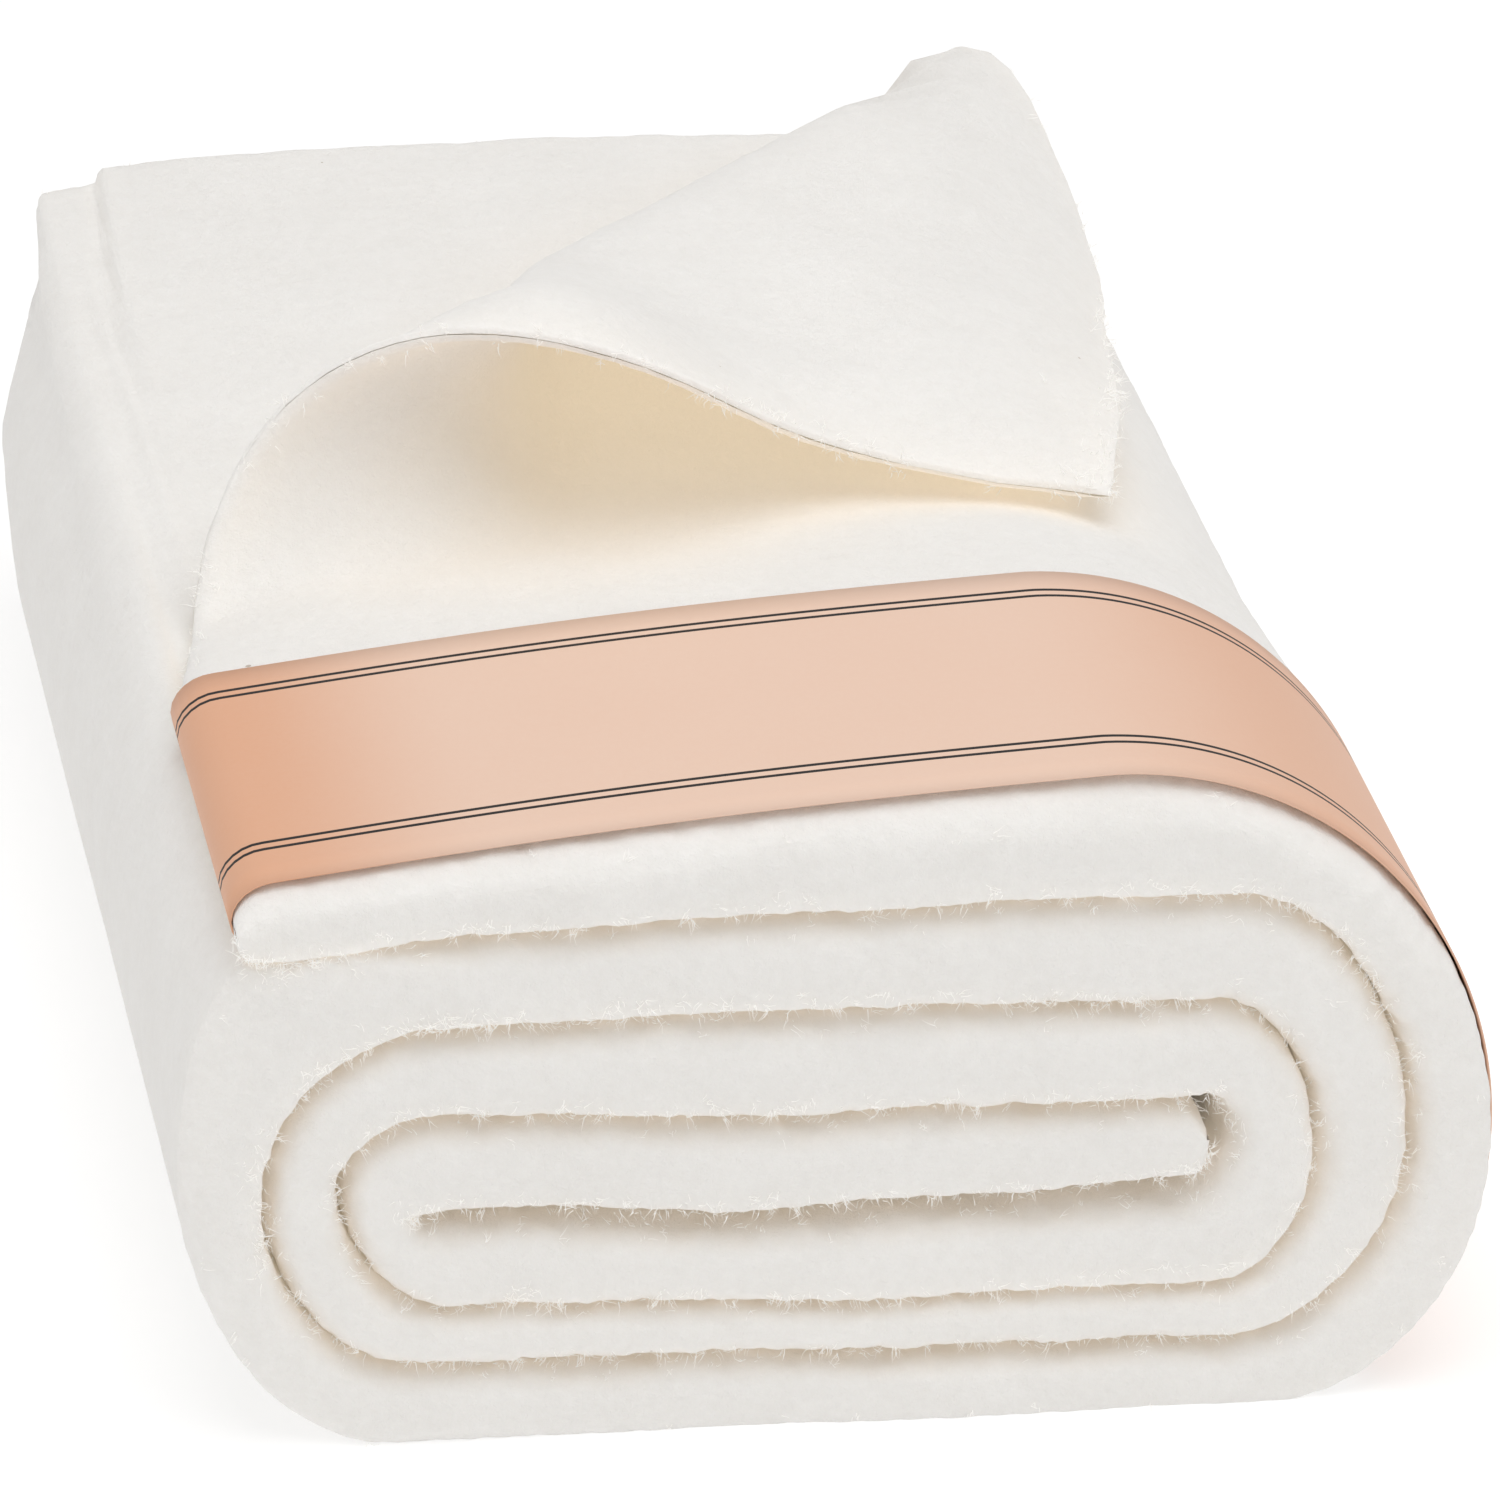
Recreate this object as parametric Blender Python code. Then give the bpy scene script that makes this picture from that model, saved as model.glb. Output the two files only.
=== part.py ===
"""A roll of quilt batting: one long sheet of soft cotton wound flat, with a paper belly band.

The roll's open end, where the winding shows as a spiral, faces -Y. The sheet's inner end is in the
middle and its outer end lies on top, at the left. The outer end's back corner is turned back over
the roll in a loose curl. The roll stands on z = 0, with x = 0 and y = 0 at its middle.

The winding is drawn in the XZ plane as one line, the parting line between neighbouring wraps.
The sheet lies between two neighbouring wraps of that line. All tables are in millimetres.
"""
import math

import bmesh
import bpy
import numpy as np

MM = 0.001

LENGTH = 305.0                 # along Y, the width of the wound sheet
PARTING = 1.4                  # the gap between two wraps
STEPS_IN_FOLD = 12
STEPS_IN_FLAT = [5, 3, 3, 3, 6, 3, 24]
FIRST_RUN, FULL_RUN = 118.0, 148.0   # rough lengths of the innermost flat run and of the others
INNER_END = (58.0, 40.6)       # the sheet's inner end, on the parting line (x, z)
OUTER_END_LOW = (-92.0, 84.6)  # the sheet's outer end, at its lower and upper corner (x, z)
OUTER_END_TOP = (-92.5, 94.2)
END_ROUNDING = [(0.0, 0.45), (1.5, 0.80), (5.0, 1.00)]  # mm from an end, share of full thickness

# The parting line's folds, from the middle out. crown is the bulge of the flat run before a fold.
FOLDS = [
    dict(crown=0.5, start=(-60.0, 40.6), reach=(-65.0, 39.6), end=(-60.0, 38.4)),
    dict(crown=-1.0, start=(51.0, 37.0), reach=(63.0, 45.5), end=(55.0, 54.0)),
    dict(crown=0.5, start=(-61.0, 56.5), reach=(-76.0, 45.0), end=(-59.0, 24.6)),
    dict(crown=-0.5, start=(58.0, 21.6), reach=(73.5, 43.5), end=(54.0, 69.5)),
    dict(crown=1.5, start=(-62.0, 71.3), reach=(-87.5, 44.0), end=(-63.0, 13.8)),
    dict(crown=0.0, start=(57.0, 11.6), reach=(88.0, 43.5), end=(56.0, 88.3)),
    dict(crown=3.0, start=(-88.0, 84.8), reach=(-100.5, 52.0), end=(-67.0, 0.0)),
    dict(crown=0.0, start=(68.0, 0.0), reach=(101.5, 42.0), end=(40.0, 107.0)),
]
TOP_CROWN = 1.6
CENTRING = -0.9                # moves the section along X, so that x = 0 is its middle

# The left shoulder's shape at the back, which fades out towards the band: mm inward at a height.
SHOULDER_DENT = dict(height=[52.0, 64.0, 73.0, 80.0, 86.0, 92.0], inward=[0.0, 1.5, 2.5, 0.5, -1.0, 0.0])
SHOULDER_FADE = (-70.0, 110.0)   # y where the dent starts, and where it is full
SHOULDER_LOW = 48.0              # height from which the left wall counts as shoulder
SHELF_EDGE = -83.0               # left of this x the shoulder's top is a low shelf at the back
SHELF_DROP = 1.8
SHELF_HEIGHT = (76.0, 82.0)      # the shelf fades in between these heights

# The left half is wound tighter at the back end: the share by which it is narrower there.
NARROWED = 0.12
NARROWED_OVER = (90.0, 168.0)    # y over which that sets in
NARROWED_TOP = 0.8               # share of it that is lost at the top, between these heights
NARROWED_TOP_HEIGHT = (66.0, 84.0)

# The turned-back corner. The curl's axis runs from the left edge towards the back right.
LEFT_EDGE = -94.0                # x of the outer end's left edge, laid flat
CURL_ORIGIN = (-95.0, -51.3)
CURL_ANGLE = math.radians(34.4)
CURL_RAMP = 0.24                 # share of a radius in which the bend sets in
CURL = dict(along=[-30.0, 0.0, 60.0, 110.0, 150.0, 185.0, 215.0, 245.0, 270.0],
            radius=[22.8, 22.8, 22.6, 11.0, 8.5, 7.0, 7.5, 13.0, 15.0],
            start=[14.8, 0.0, -29.6, 15.3, 28.7, 38.5, 48.0, 51.5, 52.5],
            over_turn=[-0.04, -0.04, 0.21, 0.07, 0.01, 0.02, -0.1, -0.25, -0.3])
EDGE_DRAWN_IN = dict(y=[-80.0, -50.0, -10.0, 50.0, 152.5], inward=[0.0, 6.0, 12.1, 19.8, 14.7])
EDGE_PULL_REACH = 60.0
LIFT_CLEAR = 1.2                 # least gap between the turned-back part and the sheet below

# How thick the sheet's outer end is, as a share of its thickness under the band.
THIN_BEHIND_BAND = dict(y=[-76.0, -45.0, -10.0], share=[1.0, 0.80, 0.62])
FREE_EDGE_SHARE = 0.42
FREE_EDGE_REACH = 26.0

# Rows of points across the sheet's width. A bent place gets as many as a longer flat one would.
FRONT_ROWS = [-LENGTH / 2, -114.0, -75.0]
ROWS_BEHIND = 26
ROW_MM_PER_RADIAN = 70.0
ARC_STEPS = 240                  # small steps in which the curl's bend is walked
BEND_EASE = 0.5                  # radians before the full turn in which the bend fades out
LIFTED_FROM, LIFTED_BY = 1.6, 2.6   # turned this far, in radians, the sheet is kept clear of itself
FULL_THICKNESS = (75.0, 125.0)   # x where the outer end thickens again, past the right shoulder
FLAT_ANGLE = math.radians(0.4)   # neighbouring faces that meet flatter than this become one

BAND_FRONT, BAND_BACK = -148.0, -77.0
BAND_THICK = 0.5
BAND_CLEAR = 0.35
BAND_TUCK = 27.0                 # how far its end goes in under the sheet's outer end
BAND_LOW = 5.0                   # height of its other end, low on the right wall


def points_along(table, column, at):
    """A smooth curve through a table's column, read at the given places."""
    keys = np.array(table[next(iter(table))])
    values = np.array(table[column])
    slopes = np.gradient(values, keys)
    at = np.clip(at, keys[0], keys[-1])
    left = np.clip(np.searchsorted(keys, at, side="right") - 1, 0, len(keys) - 2)
    width = keys[left + 1] - keys[left]
    t = (at - keys[left]) / width
    return ((2 * t**3 - 3 * t**2 + 1) * values[left] + (t**3 - 2 * t**2 + t) * width * slopes[left]
            + (3 * t**2 - 2 * t**3) * values[left + 1] + (t**3 - t**2) * width * slopes[left + 1])


def ease(value, low, high):
    """0 below low, 1 above high, and smooth between them."""
    t = np.clip((value - low) / (high - low), 0.0, 1.0)
    return t * t * (3.0 - 2.0 * t)


def flat_run(start, end, crown, shares):
    """A nearly straight run from start to end, bulged by crown on the roll's outside."""
    start, end = np.array(start), np.array(end)
    across = end - start
    outward = np.array([across[1], -across[0]]) / np.hypot(*across)
    return start + shares[:, None] * across + crown * np.sin(math.pi * shares)[:, None] * outward


def fold_run(fold, steps):
    """Two quarter ellipses, from the fold's start round its reach to its end."""
    start, reach, end = (np.array(fold[key]) for key in ("start", "reach", "end"))
    turn = np.linspace(0.0, math.pi / 2, steps // 2 + 1)[:, None]
    first = np.hstack([start[0] + (reach[0] - start[0]) * np.sin(turn),
                       reach[1] + (start[1] - reach[1]) * np.cos(turn)])
    second = np.hstack([end[0] + (reach[0] - end[0]) * np.cos(turn),
                        reach[1] + (end[1] - reach[1]) * np.sin(turn)])
    return np.vstack([first[:-1], second])


def wrap_line(index, shares, last=None):
    """The parting line's flat run into a fold, and the fold, as points with outward normals."""
    before = INNER_END if index == 0 else FOLDS[index - 1]["end"]
    if last is None:
        fold = FOLDS[index]
        line = np.vstack([flat_run(before, fold["start"], fold["crown"], shares)[:-1],
                          fold_run(fold, STEPS_IN_FOLD)])
    else:
        crown = FOLDS[index]["crown"] if index < len(FOLDS) else TOP_CROWN
        line = flat_run(before, last, crown, shares)
    tangent = np.gradient(line, axis=0)
    tangent /= np.linalg.norm(tangent, axis=1)[:, None]
    outward = np.column_stack([tangent[:, 1], -tangent[:, 0]])
    return (line, outward) if last is not None else (line[:-1], outward[:-1])


def wound_section():
    """The sheet's two sides in section, from its inner end to its outer end."""
    inside, outside = [], []
    for index, steps in enumerate(STEPS_IN_FLAT):
        shares = np.linspace(0.0, 1.0, steps + 1)
        run = FIRST_RUN if index == 0 else FULL_RUN
        near_end = np.array([mm / run for mm, share in END_ROUNDING])
        if index == 0:
            shares = np.concatenate([near_end, shares[1:]])
        last_flat = index == len(STEPS_IN_FLAT) - 1
        if last_flat:
            shares = np.concatenate([shares[:-1], 1.0 - near_end[::-1]])
        low, low_out = wrap_line(index, shares, OUTER_END_LOW if last_flat else None)
        top, top_out = wrap_line(index + 2, shares, OUTER_END_TOP if last_flat else None)
        inside.append(low + low_out * PARTING / 2)
        outside.append(top - top_out * PARTING / 2)
    inside, outside = np.vstack(inside), np.vstack(outside)
    middle, half = (inside + outside) / 2, (outside - inside) / 2
    for place, (mm, share) in enumerate(END_ROUNDING):
        half[place] *= share
        half[-1 - place] *= share
    floor = (middle + half)[:, 1].min()
    lift = np.array([CENTRING, -floor])
    return middle - half + lift, middle + half + lift


def distance_to(line, origin, direction):
    """How far a ray runs from origin to a line of points."""
    ahead = line - origin
    side = direction[0] * ahead[:, 1] - direction[1] * ahead[:, 0]
    crossed = np.nonzero(side[:-1] * side[1:] <= 0.0)[0]
    share = side[crossed] / (side[crossed] - side[crossed + 1])
    reach = (ahead[crossed] + share[:, None] * (ahead[crossed + 1] - ahead[crossed])) @ direction
    return reach[reach > 0.0].min()


def curl(x, y):
    """Where the flat outer end's points go as its corner is turned back.

    Gives their new x and y, their height above the flat sheet, the angle that the sheet has turned
    through there, and its normal.
    """
    axis = np.array([math.cos(CURL_ANGLE), math.sin(CURL_ANGLE)])
    toward = np.array([-math.sin(CURL_ANGLE), math.cos(CURL_ANGLE)])
    near_edge = np.clip(1.0 - (x - CURL_ORIGIN[0]) / EDGE_PULL_REACH, 0.0, 1.0)
    x = x + points_along(EDGE_DRAWN_IN, "inward", y) * near_edge
    across_x, across_y = x - CURL_ORIGIN[0], y - CURL_ORIGIN[1]
    along = across_x * axis[0] + across_y * axis[1]
    past = across_x * toward[0] + across_y * toward[1]
    start = points_along(CURL, "start", along)
    radius = points_along(CURL, "radius", along)
    full_turn = math.pi + points_along(CURL, "over_turn", along)

    # The bend is walked in small steps of arc, in units of the radius.
    goal = np.maximum(past - start, 0.0) / radius
    step = goal / ARC_STEPS
    angle, reach, rise = np.zeros_like(goal), np.zeros_like(goal), np.zeros_like(goal)
    for count in range(ARC_STEPS):
        reach += np.cos(angle) * step
        rise += np.sin(angle) * step
        bend = np.minimum((count + 0.5) * step / CURL_RAMP, 1.0)
        bend = np.minimum(bend, np.maximum(full_turn - angle, 0.0) / BEND_EASE)
        angle += bend * step
    new_past = np.where(past > start, start + reach * radius, past)
    new_x = CURL_ORIGIN[0] + along * axis[0] + new_past * toward[0]
    new_y = CURL_ORIGIN[1] + along * axis[1] + new_past * toward[1]
    normal = np.stack([-np.sin(angle) * toward[0], -np.sin(angle) * toward[1], np.cos(angle)], axis=-1)
    return new_x, new_y, rise * radius, angle, normal


def row_places(u):
    """The rows' y at each place along the sheet, closer together where the sheet bends."""
    fine = np.linspace(FRONT_ROWS[-1], LENGTH / 2, 400)
    wide_u, wide_y = np.meshgrid(u, fine, indexing="ij")
    angle = curl(wide_u, wide_y)[3]
    measure = fine[None, :] + ROW_MM_PER_RADIAN * np.maximum.accumulate(angle, axis=1)
    rows = [np.interp(np.linspace(line[0], line[-1], ROWS_BEHIND), line, fine) for line in measure]
    front = np.tile(FRONT_ROWS[:-1], (len(u), 1))
    return np.hstack([front, rows])


def shape_shoulder(outside, wall):
    """The left shoulder at the back: a low shelf on top, and a dent in the wall below it."""
    x, y, z = (outside[wall, :, axis] for axis in range(3))
    fade = ease(y, *SHOULDER_FADE)
    on_shelf = ease(-x, -SHELF_EDGE, -SHELF_EDGE + 2.0) * ease(z, *SHELF_HEIGHT)
    outside[wall, :, 0] = x + fade * points_along(SHOULDER_DENT, "inward", z)
    outside[wall, :, 2] = z - fade * SHELF_DROP * on_shelf


def sheet_sides():
    """The wound sheet's two sides as grids of points: [station, row, xyz]."""
    low, top = wound_section()
    stations = len(low)
    first = stations - (STEPS_IN_FLAT[-1] + len(END_ROUNDING)) - STEPS_IN_FOLD // 2

    # The outer end from the right wall on: u runs along the sheet, counted from its left edge.
    low_end = low[first:]
    lengths = np.hypot(*np.diff(low_end, axis=0).T)
    u_low = LEFT_EDGE + np.concatenate([np.cumsum(lengths[::-1])[::-1], [0.0]])
    along = np.gradient(low_end, axis=0)
    along /= np.linalg.norm(along, axis=1)[:, None]
    out = np.column_stack([along[:, 1], -along[:, 0]])
    thick = np.array([distance_to(top[first:], point, way) for point, way in zip(low_end[:-1], out)])
    thick = np.append(thick, thick[-1])

    rows = row_places(np.concatenate([np.full(first, u_low[0] + LENGTH), u_low]))
    inside, outside = np.zeros((2, stations, rows.shape[1], 3))
    for side, section in ((inside, low), (outside, top)):
        side[:, :, 0], side[:, :, 1], side[:, :, 2] = section[:, None, 0], rows, section[:, None, 1]
    wall = np.nonzero((top[:first, 1] > SHOULDER_LOW) & (top[:first, 0] < 0.0))[0]
    shape_shoulder(outside, wall[wall > first // 2])

    def base(values, at):
        return np.interp(at, u_low[::-1], values[::-1])

    u, y = np.repeat(u_low[:, None], rows.shape[1], axis=1), rows[first:]
    edge = np.minimum(u - LEFT_EDGE, LENGTH / 2 - y)
    edge_share = FREE_EDGE_SHARE + (1 - FREE_EDGE_SHARE) * ease(edge, 0.0, FREE_EDGE_REACH)
    behind = ease(y, FRONT_ROWS[-1], FRONT_ROWS[-1] + 40.0)
    share = points_along(THIN_BEHIND_BAND, "share", y) * (1 + behind * (edge_share - 1))
    share += (1 - share) * ease(u, *FULL_THICKNESS)
    thickness = thick[:, None] * share
    new_u, new_y, rise, angle, normal = curl(u, y)
    below = base(thick, new_u) * points_along(THIN_BEHIND_BAND, "share", new_y)
    rise += ease(angle, LIFTED_FROM, LIFTED_BY) * np.maximum(below + LIFT_CLEAR - rise, 0.0)

    # The curl is worked out on a flat sheet, and laid on the roll's top and right shoulder here.
    out_x, out_z = base(out[:, 0], new_u), base(out[:, 1], new_u)
    height = thickness / 2 + rise
    for place, (mm, end_share) in enumerate(END_ROUNDING):
        thickness[-1 - place] *= end_share
    middle = np.stack([base(low_end[:, 0], new_u) + out_x * height, new_y,
                       base(low_end[:, 1], new_u) + out_z * height], axis=-1)
    lean = np.stack([normal[..., 0] * out_z + normal[..., 2] * out_x, normal[..., 1],
                     normal[..., 2] * out_z - normal[..., 0] * out_x], axis=-1)
    inside[first:] = middle - lean * thickness[..., None] / 2
    outside[first:] = middle + lean * thickness[..., None] / 2
    for side in (inside, outside):
        low_share = 1.0 - NARROWED_TOP * ease(side[:, :, 2], *NARROWED_TOP_HEIGHT)
        narrower = NARROWED * ease(side[:, :, 1], *NARROWED_OVER) * low_share
        side[:, :, 0] *= np.where(side[:, :, 0] < 0.0, 1.0 - narrower, 1.0)
    return inside, outside


def slab(name, inside, outside, colour, roughness):
    """A closed sheet whose two sides are the given grids of points, as an object of its own."""
    stations, rows = inside.shape[:2]
    mesh_data = bmesh.new()
    bmesh.ops.create_grid(mesh_data, x_segments=stations - 1, y_segments=rows - 1, size=1.0)
    far_side = bmesh.ops.extrude_face_region(mesh_data, geom=mesh_data.faces[:], use_keep_orig=True)
    moved = [item for item in far_side["geom"] if isinstance(item, bmesh.types.BMVert)]
    bmesh.ops.translate(mesh_data, verts=moved, vec=(0.0, 0.0, 1.0))
    bmesh.ops.recalc_face_normals(mesh_data, faces=mesh_data.faces[:])
    bmesh.ops.reverse_faces(mesh_data, faces=mesh_data.faces[:])
    for vert in mesh_data.verts:
        station = round((vert.co.x + 1) / 2 * (stations - 1))
        row = round((vert.co.y + 1) / 2 * (rows - 1))
        side = outside if vert.co.z > 0.5 else inside
        vert.co = side[station, row] * MM
    bmesh.ops.dissolve_limit(mesh_data, angle_limit=FLAT_ANGLE, verts=mesh_data.verts[:],
                             edges=mesh_data.edges[:])
    bmesh.ops.triangulate(mesh_data, faces=mesh_data.faces[:])
    mesh = bpy.data.meshes.new(name)
    mesh_data.to_mesh(mesh)
    mesh_data.free()
    mesh.shade_smooth()
    mesh.set_sharp_from_angle(angle=math.radians(50.0))
    piece = bpy.data.objects.new(name, mesh)
    bpy.context.scene.collection.objects.link(piece)
    material = bpy.data.materials.new(name)
    material.use_nodes = True
    shader = material.node_tree.nodes["Principled BSDF"]
    shader.inputs["Base Color"].default_value = (*colour, 1.0)
    shader.inputs["Roughness"].default_value = roughness
    shader.inputs["Metallic"].default_value = 0.0
    mesh.materials.append(material)
    return piece


def make_batting():
    """The cotton sheet, one closed piece."""
    inside, outside = sheet_sides()
    return slab("batting", inside, outside, (0.86, 0.84, 0.80), 0.95)


def make_belly_band():
    """The paper strip: from under the sheet's outer end, over the top and down the right wall."""
    low, top = wound_section()
    last = STEPS_IN_FLAT[-1] + 3
    over = top[-last - STEPS_IN_FOLD:]
    over = over[over[:, 1] > BAND_LOW]
    underside = low[-last:][::-1]
    underside = underside[underside[:, 0] < OUTER_END_LOW[0] + BAND_TUCK]
    path = np.vstack([over, underside])
    side = np.diff(path, axis=0)
    side = np.column_stack([side[:, 1], -side[:, 0]]) / np.hypot(*side.T)[:, None]
    corner = np.vstack([side[:1], side[:-1] + side[1:], side[-1:]])
    corner /= np.linalg.norm(corner, axis=1)[:, None]
    stretch = 1.0 / np.concatenate([[1.0], np.sum(corner[1:-1] * side[1:], axis=1), [1.0]])
    inner_line = path + corner * (BAND_CLEAR * stretch)[:, None]
    outer_line = path + corner * ((BAND_CLEAR + BAND_THICK) * stretch)[:, None]
    grids = []
    for line in (inner_line, outer_line):
        grid = np.zeros((len(line), 2, 3))
        grid[:, :, 0], grid[:, :, 2] = line[:, None, 0], line[:, None, 1]
        grid[:, :, 1] = BAND_FRONT, BAND_BACK
        grids.append(grid)
    return slab("belly_band", grids[0], grids[1], (0.80, 0.52, 0.38), 0.6)


for old in list(bpy.data.objects):
    bpy.data.objects.remove(old)
make_batting()
make_belly_band()
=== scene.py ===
"""The looks of a roll of quilt batting, in the order in which it is put together.

Sizes of the roll are in millimetres, and turned into metres where a mesh gets its points. The roll
lies along Y, with the end that shows its spiral at -Y.
"""
import math

import bmesh
import bpy
import numpy as np
from mathutils import Matrix, Vector, noise
from mathutils.bvhtree import BVHTree


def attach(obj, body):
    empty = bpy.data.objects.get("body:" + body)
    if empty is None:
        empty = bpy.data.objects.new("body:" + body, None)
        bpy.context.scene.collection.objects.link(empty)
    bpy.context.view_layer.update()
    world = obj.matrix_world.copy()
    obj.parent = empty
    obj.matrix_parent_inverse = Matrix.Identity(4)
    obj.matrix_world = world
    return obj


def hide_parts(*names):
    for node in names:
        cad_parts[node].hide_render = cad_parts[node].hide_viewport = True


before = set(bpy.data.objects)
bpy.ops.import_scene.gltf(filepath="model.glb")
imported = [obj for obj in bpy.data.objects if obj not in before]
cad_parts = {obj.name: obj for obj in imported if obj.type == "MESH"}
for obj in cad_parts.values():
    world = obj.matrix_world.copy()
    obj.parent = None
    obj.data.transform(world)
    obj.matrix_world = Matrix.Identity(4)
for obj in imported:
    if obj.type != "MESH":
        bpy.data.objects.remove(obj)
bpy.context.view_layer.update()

scene = bpy.context.scene
scene.view_settings.view_transform = "Standard"
MM = 0.001


# The view, table and light.
# The roll lies on a pale table under big soft lamps, and a long lens looks down at it from the
# front left. The lens's length is given as a share of the frame's width.
CAMERA_PLACE = Vector((-0.2720, -1.4362, 0.7537))
CAMERA_AZIMUTH, CAMERA_HEIGHT, CAMERA_ROLL = (math.radians(angle) for angle in (-11.2, 26.0, 2.6))
LENS_SHARE = 6.60
TABLE_SIZE = 6.0
LAMPS = [
    dict(name="top_lamp", place=(0.1, -0.35, 1.5), size=1.5, watts=12.3),
    dict(name="left_lamp", place=(-1.5, -0.6, 0.7), size=1.2, watts=0.8),
]

back = Vector((math.sin(CAMERA_AZIMUTH) * math.cos(CAMERA_HEIGHT),
               -math.cos(CAMERA_AZIMUTH) * math.cos(CAMERA_HEIGHT), math.sin(CAMERA_HEIGHT)))
right = Vector((math.cos(CAMERA_AZIMUTH), math.sin(CAMERA_AZIMUTH), 0.0))
up = back.cross(right)
tilted_right = right * math.cos(CAMERA_ROLL) + up * math.sin(CAMERA_ROLL)
tilted_up = up * math.cos(CAMERA_ROLL) - right * math.sin(CAMERA_ROLL)
camera_data = bpy.data.cameras.new("camera")
camera_data.sensor_width = 36.0
camera_data.lens = camera_data.sensor_width * LENS_SHARE
camera_data.clip_end = 20.0
camera = bpy.data.objects.new("camera", camera_data)
turned = Matrix((tilted_right, tilted_up, back)).transposed().to_4x4()
camera.matrix_world = Matrix.Translation(CAMERA_PLACE) @ turned
scene.collection.objects.link(camera)
scene.camera = camera

for lamp in LAMPS:
    light = bpy.data.lights.new(lamp["name"], "AREA")
    light.shape = "DISK"
    light.size = lamp["size"]
    light.energy = lamp["watts"]
    stand = bpy.data.objects.new(lamp["name"], light)
    toward = Vector((0.0, 0.0, 0.05)) - Vector(lamp["place"])
    stand.matrix_world = Matrix.Translation(lamp["place"]) @ toward.to_track_quat("-Z", "Y").to_matrix().to_4x4()
    scene.collection.objects.link(stand)

world = bpy.data.worlds.new("studio")
world.use_nodes = True
world.node_tree.nodes["Background"].inputs["Color"].default_value = (1.0, 0.99, 0.98, 1.0)
world.node_tree.nodes["Background"].inputs["Strength"].default_value = 0.575
scene.world = world

table_mesh = bmesh.new()
bmesh.ops.create_grid(table_mesh, x_segments=1, y_segments=1, size=TABLE_SIZE / 2)
table_data = bpy.data.meshes.new("table")
table_mesh.to_mesh(table_data)
table_mesh.free()
table = bpy.data.objects.new("table", table_data)
table_finish = bpy.data.materials.new("pale_table")
table_finish.use_nodes = True
table_finish.node_tree.nodes["Principled BSDF"].inputs["Base Color"].default_value = (0.60, 0.60, 0.60, 1.0)
table_finish.node_tree.nodes["Principled BSDF"].inputs["Roughness"].default_value = 0.7
table_finish.node_tree.nodes["Principled BSDF"].inputs["Emission Color"].default_value = (1.0, 1.0, 1.0, 1.0)
table_finish.node_tree.nodes["Principled BSDF"].inputs["Emission Strength"].default_value = 0.49
table_finish.cycles.emission_sampling = "NONE"
table_data.materials.append(table_finish)
scene.collection.objects.link(table)


# The batting.
# One long sheet of needle-punched cotton, wound flat by hand into an oval roll. It is soft, matt and
# slightly cream, its cut edges are puffy, and its outer end's back corner is turned back.
LENGTH = 305.0                   # along Y, the width of the wound sheet
INNER_END = (58.0, 40.6)         # the sheet's inner end, on the parting line (x, z)
OUTER_END_LOW = (-92.0, 84.0)    # the sheet's outer end, at its lower and upper corner (x, z)
OUTER_END_TOP = (-92.5, 94.2)
FOLDS = [                        # the parting line's folds, from the middle out, as crown of the
    (-2.5, (-60.0, 40.6), (-65.0, 39.6), (-60.0, 38.4)),     # run before it, start, reach and end
    (2.0, (51.0, 37.0), (59.6, 46.5), (55.0, 54.0)),
    (-1.5, (-61.0, 56.5), (-76.0, 45.0), (-59.0, 24.6)),
    (1.1, (58.0, 21.6), (73.5, 43.5), (54.0, 69.5)),
    (1.5, (-62.0, 71.3), (-87.5, 44.0), (-63.0, 13.8)),
    (0.0, (57.0, 11.6), (88.0, 43.5), (56.0, 88.3)),
    (2.0, (-88.0, 84.8), (-100.5, 52.0), (-67.0, 0.0)),
    (0.0, (68.0, 0.0), (101.5, 42.0), (40.0, 107.0)),
]
TOP_CROWN = 1.6
CENTRING = (-0.9, -0.7)          # moves the section to the middle, and down onto the table
FLAT_SHARE = 0.7                 # share of each wrap's count that its flat run takes, before its fold
PARTING = 0.3                    # least gap between two wraps, inside the roll
END_ROUND = 6.0                  # how far from its outer end the sheet is rounded
INNER_ROUND = 3.2                # the same at its inner end
END_FLAT_BELOW = 0.4             # power by which the outer end is rounded less on its underside
CORNER_ROUND = 2.4               # the same on the turned-back corner, where the sheet is thin

# The turned-back corner. The unrolled outer end counts from its left edge, and the curl's axis runs
# from near that edge towards the back right.
LEFT_EDGE = -94.0
CURL_ORIGIN = (-95.0, -51.3)
CURL_ANGLE = math.radians(34.4)
CURL_RAMP = 0.24
CURL = dict(along=[-30.0, 0.0, 60.0, 110.0, 150.0, 185.0, 215.0, 245.0, 270.0],
            radius=[22.8, 22.8, 22.6, 11.0, 8.5, 7.5, 7.0, 13.8, 13.8],
            start=[14.8, 0.0, -29.6, 15.3, 28.7, 37.5, 45.8, 56.5, 64.1],
            over_turn=[-0.04, -0.04, 0.21, 0.07, 0.01, 0.05, 0.04, 0.15, 0.15])
EDGE_DRAWN_IN = dict(y=[-80.0, -50.0, -10.0, 50.0, 152.5], inward=[0.0, 6.0, 12.1, 19.8, 14.7])
EDGE_PULL_REACH = 60.0
LIFT_CLEAR = 1.2
ARC_STEPS = 200
THIN_BEHIND_BAND = dict(y=[-76.0, -45.0, -10.0], share=[1.0, 0.80, 0.62])
BAND_BACK_EDGE = -75.0
FREE_EDGE_SHARE = 0.42
FREE_EDGE_REACH = 26.0
FULL_THICKNESS = (75.0, 125.0)

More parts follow.
